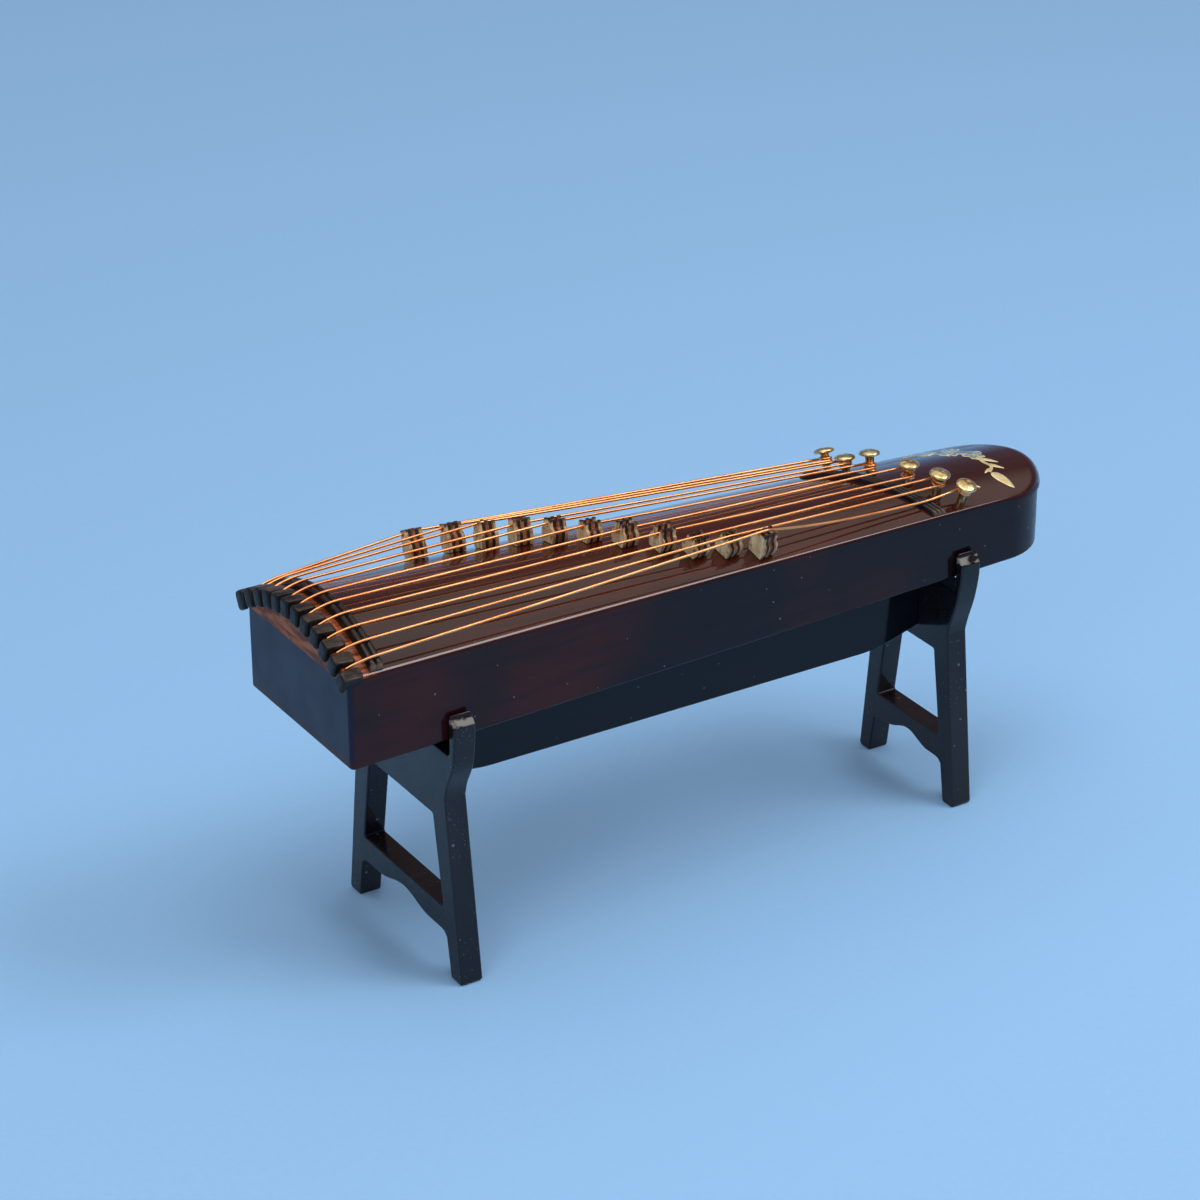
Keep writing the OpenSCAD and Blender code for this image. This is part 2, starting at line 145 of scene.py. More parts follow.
class Shape:
    """Collects the faces of one piece, in millimetres. A vertex's tone is read by its material."""

    def __init__(self):
        self.verts, self.faces, self.slots, self.tones = [], [], [], []

    def add(self, verts, faces, slot=0, tone=0.0):
        base = len(self.verts)
        self.verts += [tuple(v) for v in verts]
        self.tones += tone if isinstance(tone, list) else [tone] * len(verts)
        self.faces += [tuple(base + i for i in f) for f in faces]
        self.slots += [slot] * len(faces)

    def skin(self, rings, slot=0, caps=True, tone=0.0):
        """Joins a row of closed rings of equal length."""
        n = len(rings[0])
        faces = [
            (k * n + i, k * n + (i + 1) % n, (k + 1) * n + (i + 1) % n, (k + 1) * n + i)
            for k in range(len(rings) - 1)
            for i in range(n)
        ]
        if caps:
            last = (len(rings) - 1) * n
            faces += [tuple(range(n - 1, -1, -1)), tuple(range(last, last + n))]
        self.add([p for r in rings for p in r], faces, slot, tone)

    def slab(self, loops, place, t0, t1, soft, slot=0, cap_slot=None, tone=None):
        """Extrudes flat loops from t0 to t1 with rounded edges. The first loop runs anticlockwise round the
        outside, the rest clockwise round holes; place(u, v, t) gives the point and tone(u, v, t) its tone."""
        turns = [i * math.pi / 8 for i in range(5)]
        near = [(soft * (1 - math.sin(a)), t0 + soft * (1 - math.cos(a))) for a in turns]
        far = [(soft * (1 - math.sin(a)), t1 - soft * (1 - math.cos(a))) for a in reversed(turns)]
        shade = tone or (lambda u, v, t: 0.0)
        ends = ([], [])
        for loop in loops:
            rings, tones = [], []
            for by, t in near + far:
                flat = inset(loop, by)
                rings.append([place(p.x, p.y, t) for p in flat])
                tones += [shade(p.x, p.y, t) for p in flat]
            self.skin(rings, slot, False, tones)
            ends[0].append(inset(loop, soft))
            ends[1].append(inset(loop, soft))
        for flat, t in zip(ends, (t0, t1)):
            faces = tessellate_polygon([[Vector((p.x, p.y, 0)) for p in loop] for loop in flat])
            points = [p for loop in flat for p in loop]
            self.add(
                [place(p.x, p.y, t) for p in points],
                faces,
                slot if cap_slot is None else cap_slot,
                [shade(p.x, p.y, t) for p in points],
            )

    def tube(self, path, radius, sides=10, slot=0):
        """A round wire along a path."""
        rings, last = [], len(path) - 1
        across = None
        for i, p in enumerate(path):
            ahead = (path[min(i + 1, last)] - path[max(i - 1, 0)]).normalized()
            if across is None:
                across = ahead.cross(Vector((0, 0, 1))).normalized()
            across = (across - ahead * across.dot(ahead)).normalized()
            up = across.cross(ahead)
            turns = [2 * math.pi * k / sides for k in range(sides)]
            rings.append([p + radius * (math.cos(a) * across + math.sin(a) * up) for a in turns])
        self.skin(rings, slot)


def inset(loop, by):
    """The loop moved by that much to its left, which is into the material."""
    moved, n = [], len(loop)
    for i in range(n):
        a, b, c = Vector(loop[i - 1]), Vector(loop[i]), Vector(loop[(i + 1) % n])
        e0, e1 = (b - a).normalized(), (c - b).normalized()
        n0, n1 = Vector((-e0.y, e0.x)), Vector((-e1.y, e1.x))
        moved.append(b + (n0 + n1) * (by / max(0.4, 1 + n0.dot(n1))))
    return moved


def curved(points, steps):
    """A smooth line through the points."""
    points = [Vector(p) for p in points]
    out = []
    for i in range(len(points) - 1):
        a, b = points[max(i - 1, 0)], points[i]
        c, d = points[i + 1], points[min(i + 2, len(points) - 1)]
        for k in range(steps):
            t = k / steps
            squared, cubed = 2 * a - 5 * b + 4 * c - d, 3 * b - a - 3 * c + d
            out.append(0.5 * (2 * b + (c - a) * t + squared * t * t + cubed * t**3))
    return out + [points[-1]]


def cornered(route, cuts, steps=6):
    """A route with each corner turned into a short curve that starts at its cut on both sides."""
    route = [Vector(p) for p in route]
    out = [route[0]]
    for i in range(1, len(route) - 1):
        p, cut = route[i], cuts[i - 1]
        a = p + (route[i - 1] - p).normalized() * cut
        c = p + (route[i + 1] - p).normalized() * cut
        for k in range(steps + 1):
            t = k / steps
            out.append(a * (1 - t) ** 2 + p * 2 * t * (1 - t) + c * t * t)
    return out + [route[-1]]


def piece(name, shape, materials, body, nodes=(), sharp=40, flat_faces=False):
    """Makes the object, sets it on its body and says which CAD nodes it stands for."""
    mesh = bpy.data.meshes.new(name)
    mesh.from_pydata([Vector(v) * MM for v in shape.verts], [], shape.faces)
    tone = mesh.attributes.new("tone", "FLOAT", "POINT")
    tone.data.foreach_set("value", shape.tones)
    mesh.polygons.foreach_set("material_index", shape.slots)
    for m in materials:
        mesh.materials.append(m)
    bm = bmesh.new()
    bm.from_mesh(mesh)
    bmesh.ops.remove_doubles(bm, verts=bm.verts, dist=0.001 * MM)
    bmesh.ops.recalc_face_normals(bm, faces=bm.faces)
    bm.to_mesh(mesh)
    bm.free()
    mesh.shade_smooth()
    mesh.set_sharp_from_angle(angle=math.radians(sharp))
    obj = bpy.data.objects.new(name, mesh)
    bpy.context.scene.collection.objects.link(obj)
    if flat_faces:
        even = obj.modifiers.new("even_shading", "WEIGHTED_NORMAL")
        even.weight = 100
        even.keep_sharp = True
    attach(obj, body)
    if nodes:
        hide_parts(*nodes)
    return obj


# ---- Materials ----


def tint(r, g, b):
    """A colour given as screen values from 0 to 255."""
    return (*[((c / 255 + 0.055) / 1.055) ** 2.4 if c > 10 else c / 255 / 12.92 for c in (r, g, b)], 1.0)


# How grain noise is stretched along the body, and down an upright board
ALONG_X, ALONG_Z = (0.12, 1, 1), (1, 1, 0.1)


class Look:
    """A Principled material and the nodes that feed it."""

    def __init__(self, name, fixed):
        self.material = bpy.data.materials.new(name)
        self.material.use_nodes = True
        self.tree = self.material.node_tree
        self.tree.nodes.clear()
        self.shader = self.new("BsdfPrincipled", fixed)
        self.new("OutputMaterial", {"Surface": self.shader.outputs[0]})
        self.place = self.new("TexCoord").outputs["Object"]

    def new(self, kind, sockets=None, **settings):
        made = self.tree.nodes.new("ShaderNode" + kind)
        for key, value in settings.items():
            setattr(made, key, value)
        for key, value in (sockets or {}).items():
            self.put(made.inputs[key], value)
        return made

    def put(self, socket, value):
        if isinstance(value, bpy.types.NodeSocket):
            self.tree.links.new(value, socket)
        else:
            socket.default_value = value

    def axis(self, index):
        return self.new("SeparateXYZ", {"Vector": self.place}).outputs[index]

    def tone(self):
        return self.new("Attribute", attribute_name="tone").outputs["Fac"]

    def noise(self, scale, detail=3.0, stretch=(1, 1, 1), distortion=0.0):
        at = self.new("Mapping", {"Vector": self.place, "Scale": stretch}).outputs[0]
        sockets = {"Vector": at, "Scale": scale, "Detail": detail, "Distortion": distortion}
        return self.new("TexNoise", sockets).outputs[0]

    def sum(self, kind, a, b=0.0):
        return self.new("Math", {0: a, 1: b}, operation=kind).outputs[0]

    def span(self, value, lo, hi, out_lo=0.0, out_hi=1.0):
        """value from lo to hi, mapped smoothly to out_lo to out_hi."""
        sockets = {0: value, 1: lo, 2: hi, 3: out_lo, 4: out_hi}
        return self.new("MapRange", sockets, interpolation_type="SMOOTHSTEP").outputs[0]

    def mix(self, share, a, b):
        return self.new("Mix", {0: share, 6: a, 7: b}, data_type="RGBA").outputs[2]

    def specks(self, scale, most, kept):
        """Small round spots in a share of a grid of cells."""
        cells = self.new("TexVoronoi", {"Vector": self.place, "Scale": scale})
        pick = self.new("SeparateColor", {"Color": cells.outputs["Color"]}).outputs[0]
        size = self.span(pick, kept, 1.0, 0.0, most)
        return self.sum("GREATER_THAN", self.sum("SUBTRACT", size, cells.outputs["Distance"]), 0.001)

    def finish(self, colour, roughness, height=None, depth=0.02):
        """height is a pattern from 0 to 1 and depth its height in millimetres."""
        self.put(self.shader.inputs["Base Color"], colour)
        self.put(self.shader.inputs["Roughness"], roughness)
        if height is not None:
            bump = self.new("Bump", {"Strength": 1.0, "Distance": depth * MM, "Height": height})
            self.put(self.shader.inputs["Normal"], bump.outputs[0])
        return self.material


def lacquer(name, dark, glow, gloss, dust, grain=ALONG_X, coat_roughness=0.05, wear_and_highlight_z=None):
    """Dark gloss lacquer over wood: clouds of a second colour, faint grain, smudges and dust specks.
    The last argument gives the four heights in millimetres between which light grey comes in and goes again:
    partly wear in patches, partly a painted highlight where the arm-top chamfer catches the light."""
    fixed = {"Coat Weight": gloss, "Coat Roughness": coat_roughness, "IOR": 1.48, "Specular IOR Level": 0.04}
    look = Look(name, fixed)
    clouds = look.span(look.noise(28, 2), 0.38, 0.64)
    colour = look.mix(clouds, dark, glow)
    streaks = look.span(look.noise(420, 4, grain), 0.46, 0.7, 0.0, 0.45)
    colour = look.mix(streaks, colour, [c * 0.45 for c in dark[:3]] + [1.0])
    specks = look.specks(700, dust * 0.3, 0.76)
    colour = look.mix(look.sum("MULTIPLY", specks, 0.5), colour, tint(138, 136, 144))
    roughness = look.span(look.noise(160, 5), 0.3, 0.75, 0.3, 0.55)
    if wear_and_highlight_z is not None:
        fine = look.span(look.noise(2600, 4), 0.6, 0.72, 0.0, 0.5)
        powder = look.sum("MULTIPLY", fine, look.span(look.noise(210, 3), 0.45, 0.65))
        colour = look.mix(powder, colour, tint(112, 116, 120))
        # Light grey band on the arm-top chamfer: partly wear in patches, partly a painted highlight standing
        # in for the softbox's reflection.
        patches = look.span(look.noise(640, 5, (0.6, 1, 1)), 0.42, 0.52)
        z = look.axis(2)
        z0, z1, z2, z3 = [v * MM for v in wear_and_highlight_z]
        band = look.sum("MULTIPLY", look.span(z, z0, z1), look.span(z, z3, z2))
        top = look.sum("MULTIPLY", band, patches)
        colour = look.mix(look.sum("MULTIPLY", top, 0.6), colour, tint(176, 172, 162))
        roughness = look.sum("ADD", roughness, look.sum("MULTIPLY", top, 0.12))
    peel = look.sum("ADD", look.sum("MULTIPLY", look.noise(700, 2), 0.5), look.sum("MULTIPLY", specks, 0.9))
    height = look.sum("ADD", peel, look.sum("MULTIPLY", streaks, 0.4))
    return look.finish(colour, roughness, height, 0.012)


def deck_finish():
    """Dark red-brown gloss over fine grain, thin and amber where the pegs stand."""
    fixed = {"Coat Weight": 1.0, "Coat Roughness": 0.03, "IOR": 1.5, "Specular IOR Level": 0.12}
    look = Look("deck_lacquer", fixed)
    clouds = look.span(look.noise(22, 2, (0.5, 1, 1)), 0.35, 0.7)
    colour = look.mix(clouds, tint(66, 22, 12), tint(48, 16, 16))
    fine = look.span(look.noise(900, 4, (0.05, 1, 1)), 0.42, 0.68)
    colour = look.mix(look.sum("MULTIPLY", fine, 0.5), colour, tint(26, 10, 8))
    x = look.axis(0)
    ragged = look.sum("ADD", x, look.sum("MULTIPLY", look.noise(600, 3), 1.6 * MM))
    thin = look.span(ragged, (HEAD_X + 6.3) * MM, (HEAD_X + 4.9) * MM)
    flame = look.span(look.noise(1500, 4, (0.2, 1, 1)), 0.35, 0.65)
    amber = look.mix(flame, tint(176, 92, 40), tint(96, 40, 16))
    colour = look.mix(thin, colour, amber)
    specks = look.specks(520, 0.05, 0.82)
    colour = look.mix(look.sum("MULTIPLY", specks, 0.4), colour, tint(120, 100, 95))
    roughness = look.span(look.noise(120, 4), 0.3, 0.75, 0.16, 0.3)
    height = look.sum("ADD", look.sum("MULTIPLY", look.noise(480, 2), 0.6), look.sum("MULTIPLY", specks, 0.8))
    return look.finish(colour, roughness, height, 0.010)


def wood(name, light, dark, scale, stretch):
    """Bare wood with rings and pores."""
    look = Look(name, {"IOR": 1.45})
    bands = look.span(look.noise(scale, 5, stretch, 0.6), 0.36, 0.64)
    pores = look.span(look.noise(scale * 6, 3, stretch), 0.55, 0.7)
    deep = [c * 0.4 for c in dark[:3]] + [1.0]
    colour = look.mix(look.sum("MULTIPLY", pores, 0.5), look.mix(bands, light, dark), deep)
    rough = look.span(look.noise(scale * 2, 3), 0.3, 0.7, 0.5, 0.7)
    return look.finish(colour, rough, look.sum("SUBTRACT", 1.0, pores), 0.03)


def worn_dark(name, dark, worn, gloss):
    """Blackened wood, worn to brown where the tone is high."""
    look = Look(name, {"IOR": 1.5, "Coat Weight": gloss, "Coat Roughness": 0.22, "Specular IOR Level": 0.12})
    grain = look.noise(800, 5, (0.35, 1, 1))
    wear = look.span(look.sum("ADD", look.tone(), look.sum("MULTIPLY", grain, 0.9)), 0.75, 1.35)
    lighter = [c * 1.9 for c in dark[:3]] + [1.0]
    colour = look.mix(wear, look.mix(look.span(grain, 0.4, 0.7), dark, lighter), worn)
    rough = look.span(grain, 0.3, 0.7, 0.32, 0.6)
    return look.finish(colour, rough, look.noise(1300, 4, (0.5, 1, 1)), 0.06)


def metal(name, bright, deep, roughness, scale, depth):
    """Polished metal with a little tarnish, and dents of the depth given in millimetres."""
    look = Look(name, {"Metallic": 1.0})
    tarnish = look.span(look.noise(scale * 0.6, 4), 0.4, 0.72)
    cells = look.new("TexVoronoi", {"Vector": look.place, "Scale": scale}, feature="SMOOTH_F1")
    rough = look.span(look.noise(scale * 1.7, 3), 0.3, 0.7, *roughness)
    return look.finish(look.mix(tarnish, bright, deep), rough, cells.outputs["Distance"], depth)


def ply_face():
    """Pale sawn plywood, singed towards the top."""
    look = Look("bridge_ply_face", {"IOR": 1.45, "Specular IOR Level": 0.2})
    grain = look.span(look.noise(1300, 5, (1, 1, 0.25)), 0.35, 0.68)
    colour = look.mix(grain, tint(246, 226, 186), tint(208, 178, 132))
    stains = look.span(look.noise(620, 4), 0.56, 0.68)
    colour = look.mix(look.sum("MULTIPLY", stains, 0.75), colour, tint(96, 62, 34))
    heat = look.sum("ADD", look.tone(), look.sum("MULTIPLY", look.noise(1500, 4), 0.35))
    burnt = look.span(heat, 1.04, 1.24)
    colour = look.mix(burnt, colour, tint(44, 28, 20))
    return look.finish(colour, look.span(grain, 0.0, 1.0, 0.5, 0.68), grain, 0.04)


def ply_edge(name, light, dark):
    """The cut edge of one ply, laser-browned, and black at the top."""
    look = Look(name, {"IOR": 1.45, "Specular IOR Level": 0.25})
    grain = look.span(look.noise(1700, 5, (1, 1, 0.16)), 0.36, 0.66)
    colour = look.mix(grain, light, dark)
    heat = look.sum("ADD", look.tone(), look.sum("MULTIPLY", look.noise(1400, 4), 0.5))
    burnt = look.span(heat, 1.0, 1.3)
    colour = look.mix(burnt, colour, tint(34, 22, 17))
    return look.finish(colour, look.span(grain, 0.0, 1.0, 0.38, 0.62), grain, 0.05)


def inlay(name, base, shift, metallic):
    """Thin metallic leaf under clear lacquer."""
    look = Look(name, {"Metallic": metallic, "Coat Weight": 1.0, "Coat Roughness": 0.05})
    colour = look.mix(look.span(look.noise(700, 4), 0.35, 0.65), base, shift)
    rough = look.span(look.noise(1500, 3), 0.3, 0.7, 0.25, 0.42)
    return look.finish(colour, rough, look.noise(2600, 2), 0.01)


def paper():
    """The studio floor: plain pale paper."""
    look = Look("floor_paper", {"Specular IOR Level": 0.25})
    fibres = look.noise(900, 3)
    colour = look.mix(look.span(fibres, 0.3, 0.7), tint(148, 199, 247), tint(151, 201, 248))
    return look.finish(colour, look.span(fibres, 0.3, 0.7, 0.7, 0.8), fibres, 0.01)


body_side = lacquer("body_lacquer", tint(24, 12, 18), tint(60, 16, 13), 0.46, 0.44)
# The head panel's end face is given a bluer base colour than the body: a painted reflection of the blue floor
# in its gloss.
head_face_with_painted_reflection = lacquer("head_lacquer", tint(20, 18, 44), tint(28, 20, 46), 0.5, 0.2, ALONG_Z)
# Heights of the arm-top chamfer that gets the light grey band: wear and a painted highlight.
arm_wear_and_highlight = (46.0, 46.3, 47.1, 47.4)
stand_side = lacquer("stand_lacquer", tint(18, 17, 22), tint(30, 26, 28), 0.7, 0.6, ALONG_Z, 0.09, arm_wear_and_highlight)
beam_side = lacquer("beam_lacquer", tint(12, 12, 20), tint(16, 13, 20), 0.5, 0.4, coat_roughness=0.08)
deck_top = deck_finish()
deck_end = wood("deck_end_grain", tint(178, 100, 52), tint(104, 50, 22), 500, (1, 0.35, 2.2))
rib_wood = wood("bare_wood", tint(206, 172, 124), tint(164, 124, 78), 260, (1, 0.2, 1))
nut_wood = worn_dark("nut_wood", tint(24, 18, 17), tint(112, 84, 64), 0.5)
peg_wood = worn_dark("peg_wood", tint(24, 20, 20), tint(84, 68, 60), 0.22)
brass = metal("brass", tint(238, 220, 168), tint(204, 170, 104), (0.18, 0.36), 900, 0.12)
copper = metal("copper_wire", tint(255, 184, 124), tint(240, 148, 88), (0.3, 0.38), 120, 0.002)
ply_pale = ply_face()
ply_edges = [
    ply_edge("ply_edge_pale", tint(206, 170, 124), tint(132, 92, 60)),
    ply_edge("ply_edge_dark", tint(56, 40, 32), tint(28, 20, 17)),
    ply_edge("ply_edge_brown", tint(168, 98, 58), tint(104, 54, 32)),
]
gold_leaf = inlay("inlay_gold", tint(246, 232, 178), tint(226, 204, 140), 0.35)
teal_leaf = inlay("inlay_teal", tint(122, 164, 168), tint(92, 132, 152), 0.25)

# ---- Stand ----


def arm_out(k):
    return half_w(FRAME_X[k]) + ARM_GAP + ARM_T


def frame_loops(k):
    """The outline of a frame in Y and Z, and its window."""
    out = arm_out(k)
    lean = (waist := WAIST_OUT[k]) + 0.15 * (out - KINK_IN - waist)
    kink = [out - KINK_IN, KINK_Z] if k == 0 else [out - KINK_IN - 0.25, KINK_Z + 0.1]
    outer = curved([[waist, WAIST_Z], [lean + 0.28, 34.4], kink, [out - 0.18, 43], [out, 45.6]], 7)
    top = curved(
        [
            [out, 45.8],
            [out - 0.1, 46.15],
            [out - 0.95, ARM_Z - 0.62],
            [out - 1.12, ARM_Z - 0.22],
            [out - 1.3, ARM_Z],
            [out - ARM_T + 0.12, ARM_Z - 0.2],
            [out - ARM_T, 46.9],
            [out - ARM_T, 46],
        ],
        4,
    )
    foot = [(FOOT_OUT[k] - FOOT_SOFT, 0), (FOOT_OUT[k] - 0.1, FOOT_SOFT)]
    seat = [(out - ARM_T, RAIL_Z + 0.8), (out - ARM_T - 0.2, RAIL_Z + 0.2), (out - ARM_T - 0.7, RAIL_Z)]
    right = [Vector(p) for p in foot] + outer + top + [Vector(p) for p in seat]
    slope = (FOOT_IN[k] - WINDOW_IN[k]) / RAIL_UNDER_Z
    span = 0.55 * FOOT_IN[k]
    edge = FOOT_IN[k] - 8 * slope
    wave = [
        (u * span, 7.7 + 0.8 * (1 + math.cos(math.pi * abs(u)))) for u in [i / 12 for i in range(12, -13, -1)]
    ]
    side = [(FOOT_IN[k] + 0.25, 0), (FOOT_IN[k], 0.3), (FOOT_IN[k] - 6.9 * slope, 6.9)]
    side += [(edge - 0.45, 7.5), (edge - 1.3, 7.68)]
    gap = side + wave + [(-y, z) for y, z in reversed(side)]
    loop = right + [Vector((-p.x, p.y)) for p in reversed(right)] + [Vector(p) for p in reversed(gap)]
    low = FOOT_IN[k] - (FOOT_IN[k] - WINDOW_IN[k]) * STRETCHER_Z / RAIL_UNDER_Z
    high = WINDOW_IN[k]
    window = [(low, STRETCHER_Z), (-low, STRETCHER_Z), (-high, RAIL_UNDER_Z), (high, RAIL_UNDER_Z)]
    return loop, [Vector(p) for p in softened(window, 0.35)]


def softened(loop, cut):
    """A loop with its corners cut round."""
    out, n = [], len(loop)
    for i in range(n):
        a, b, c = Vector(loop[i - 1]), Vector(loop[i]), Vector(loop[(i + 1) % n])
        p, q = b + (a - b).normalized() * cut, b + (c - b).normalized() * cut
        out += [p * (1 - t) ** 2 + b * 2 * t * (1 - t) + q * t * t for t in (0, 0.33, 0.67, 1)]
    return out


for k, node in enumerate(("stand_frame_head", "stand_frame_tail")):
    board = Shape()
    board.slab(frame_loops(k), lambda u, v, t: (t, u, v), FRAME_X[k], FRAME_X[k] + FRAME_T, 0.32)
    piece(node + "_board", board, [stand_side], "stand", [node], flat_faces=True)

beam_x0, beam_x1 = FRAME_X[0] + FRAME_T, FRAME_X[1]
lift, lift_l = 2.6, 12.0
seat = UNDER_Z - SEAT_GAP
rises = [i / 10 for i in range(11)]
swoop = [(lift_l * (1 - u), RAIL_UNDER_Z + lift * (1 - math.cos(math.pi / 2 * u))) for u in rises]
under = [(beam_x0 + x, z) for x, z in reversed(swoop)] + [(beam_x1 - x, z) for x, z in swoop]
ends = [(beam_x1, RAIL_Z + 0.05), (beam_x1 + FRAME_T, RAIL_Z + 0.05), (beam_x1 + FRAME_T, seat)]
ends += [(FRAME_X[0], seat), (FRAME_X[0], RAIL_Z + 0.05), (beam_x0, RAIL_Z + 0.05)]
beam = Shape()
beam_loop = [Vector(p) for p in under + ends]
beam.slab([beam_loop], lambda u, v, t: (u, t, v), -FRAME_T / 2, FRAME_T / 2, 0.3)
piece("stand_beam_board", beam, [beam_side], "stand", ["stand_beam"], flat_faces=True)

# ---- Body ----


def near_edge(grow, corner, from_x=None):
    """One long edge of the body in plan, head corner to tail tip, as x and distance from the middle."""
    tangent_x = TAIL_CX + (TAIL_R + grow) * math.sin(SIDE_A)
    x0 = HEAD_X - grow if from_x is None else from_x

    def w(x):
        return half_w(x) + grow / math.cos(SIDE_A)

    points = []
    if corner > 0:
        points += [
            (x0 + corner * (1 - math.cos(a)), w(x0) - corner * (1 - math.sin(a)))
            for a in [i * math.pi / 12 for i in range(7)]
        ]
    else:
        points.append((x0, w(x0)))
    start = points[-1][0]
    points += [(x, w(x)) for x in [start + (tangent_x - start) * i / 56 for i in range(1, 57)]]
    turns = [SIDE_A + (math.pi / 2 - SIDE_A) * i / 28 for i in range(1, 29)]
    points += [(TAIL_CX + (TAIL_R + grow) * math.sin(a), (TAIL_R + grow) * math.cos(a)) for a in turns]
    return points


def plan(grow, corner, from_x=None):
    """The body's outline in plan, anticlockwise, starting at the head corner on the near side."""
    edge = near_edge(grow, corner, from_x)
    edge[-1] = (edge[-1][0], 0.0)
    return [Vector((x, -w)) for x, w in edge] + [Vector((x, w)) for x, w in reversed(edge[:-1])]


def body_piece(name, shape, node):
    piece(name, shape, [body_side], "instrument", [node], flat_faces=True)


CORNER = 0.8
base = Shape()
loop = plan(0, CORNER)
soft = 0.45
turns = [i * math.pi / 10 for i in range(6)]
profile = [(soft * (1 - math.sin(a)), UNDER_Z + soft * (1 - math.cos(a))) for a in turns]
profile.append((0.0, UNDER_Z + BOTTOM_T))
base.skin([[(p.x, p.y, z) for p in inset(loop, by)] for by, z in profile])
body_piece("bottom_board_lacquered", base, "bottom_board")

for side, node in ((-1, "side_board_near"), (1, "side_board_far")):
    board = Shape()
    low = UNDER_Z + BOTTOM_T
    rings = []
    for i in range(25):
        x = HEAD_X + BOARD_T + (BLOCK_X - HEAD_X - BOARD_T) * i / 24
        w, top = half_w(x), under_z(x)
        inner = w - BOARD_T
        section = [(w, low), (w, (low + top) / 2), (w, top), (inner + 0.3, top), (inner, top - 0.3)]
        section += [(inner, low + 0.3), (inner + 0.3, low)]
        rings.append([(x, side * y, z) for y, z in section])
    board.skin(rings)
    body_piece(node + "_lacquered", board, node)

panel = Shape()
corner_pts = near_edge(0, CORNER)[:7]
back = HEAD_X + BOARD_T
section = [(back, -half_w(back))] + [(x, -w) for x, w in reversed(corner_pts)]
section += [(corner_pts[0][0], -y) for y in [corner_pts[0][1] * (1 - 2 * i / 12) for i in range(1, 12)]]
section += [(x, w) for x, w in corner_pts] + [(back, half_w(back))]
low = UNDER_Z + BOTTOM_T
levels = [i / 6 for i in range(7)]
panel.skin([[(x, y, low + (under_z(x) - low) * u) for x, y in section] for u in levels])
panel_looks = [head_face_with_painted_reflection, body_side]
name = "head_panel_lacquered"
panel_obj = piece(name, panel, panel_looks, "instrument", ["head_panel"], flat_faces=True)
# The end face keeps the bluer colour with the painted floor reflection; faces of the corner that look along
# the sides take the body lacquer.
for poly in panel_obj.data.polygons:
    if poly.center.x > (HEAD_X + 0.5) * MM and abs(poly.normal.y) > 0.5:
        poly.material_index = 1

block = Shape()
loop = plan(0, 0, BLOCK_X)
block.skin([[(p.x, p.y, low + (under_z(p.x) - low) * u) for p in loop] for u in levels])
body_piece("tail_block_lacquered", block, "tail_block")

for node in ("sound_rib_head", "sound_rib_tail"):
    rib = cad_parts[node]
    rib.data.materials.clear()
    rib.data.materials.append(rib_wood)


def rim_soft(x, y):
    """The radius of the deck's rounded rim: small along the sides, large round the tail."""
    wall = dome_z(x, y) - under_z(x)
    return min(0.5 + 1.4 * ease(TAIL_CX - 2, TAIL_X - 2.5, x), 0.75 * wall)


ACROSS = 28
deck = Shape()
edge = near_edge(DECK_OVER, 0.5)
edge[-1] = (edge[-1][0], 0.0)
head_y = edge[0][1]
head_row = [Vector((edge[0][0], head_y * (1 - 2 * i / ACROSS))) for i in range(1, ACROSS)]
outline = [Vector((x, -w)) for x, w in edge] + [Vector((x, w)) for x, w in reversed(edge[:-1])] + head_row
lefts = inset(outline, 1.0)
rim = []
for i in range(8):
    a = (i - 1) * math.pi / 12
    ring = []
    for p, q in zip(outline, lefts):
        r = rim_soft(p.x, p.y)
        if i == 0:
            ring.append((p.x, p.y, under_z(p.x)))
            continue
        flat = p + (q - p) * (r * (1 - math.cos(a)))
        ring.append((flat.x, flat.y, dome_z(flat.x, flat.y) - r * (1 - math.sin(a))))
    rim.append(ring)
deck.skin(rim, caps=False)
deck.add(rim[0], [tuple(range(len(outline)))])
top = rim[-1]
n_edge = len(edge)
rows = [[top[0]] + [top[-1 - i] for i in range(ACROSS - 1)] + [top[2 * n_edge - 2]]]
for i in range(1, n_edge - 1):
    a, b = top[i], top[2 * n_edge - 2 - i]
    row = [a]
    for j in range(1, ACROSS):
        x, y = a[0], a[1] + (b[1] - a[1]) * j / ACROSS
        row.append((x, y, dome_z(x, y)))
    rows.append(row + [b])
verts = [p for row in rows for p in row] + [top[n_edge - 1]]
width = ACROSS + 1
faces = [
    (r * width + j, r * width + j + 1, (r + 1) * width + j + 1, (r + 1) * width + j)
    for r in range(len(rows) - 1)
    for j in range(ACROSS)
]
last = (len(rows) - 1) * width
faces += [(last + j, last + j + 1, len(verts) - 1) for j in range(ACROSS)]
deck.add(verts, faces)
deck_looks = [deck_top, deck_end, body_side]
name = "soundboard_lacquered"
deck_obj = piece(name, deck, deck_looks, "instrument", ["soundboard"], sharp=50)
for poly in deck_obj.data.polygons:
    if poly.normal.x < -0.8:
        poly.material_index = 1
    elif abs(poly.normal.z) < 0.35:
        poly.material_index = 2

# ---- Inlay on the tail: a sprig of own design ----


def patch(shape, outline_pts, lift, slot):
    """A small flat figure laid on the dome, with a raised middle."""
    centre = sum((Vector(p) for p in outline_pts), Vector((0, 0))) / len(outline_pts)
    rings = []
    for share, dz in ((1.0, 0.0), (0.94, lift), (0.6, lift + 0.01), (0.25, lift + 0.015)):
        flat = [centre + (Vector(p) - centre) * share for p in outline_pts]
        rings.append([(p.x, p.y, dome_z(p.x, p.y, dz)) for p in flat])
    shape.skin(rings, slot)


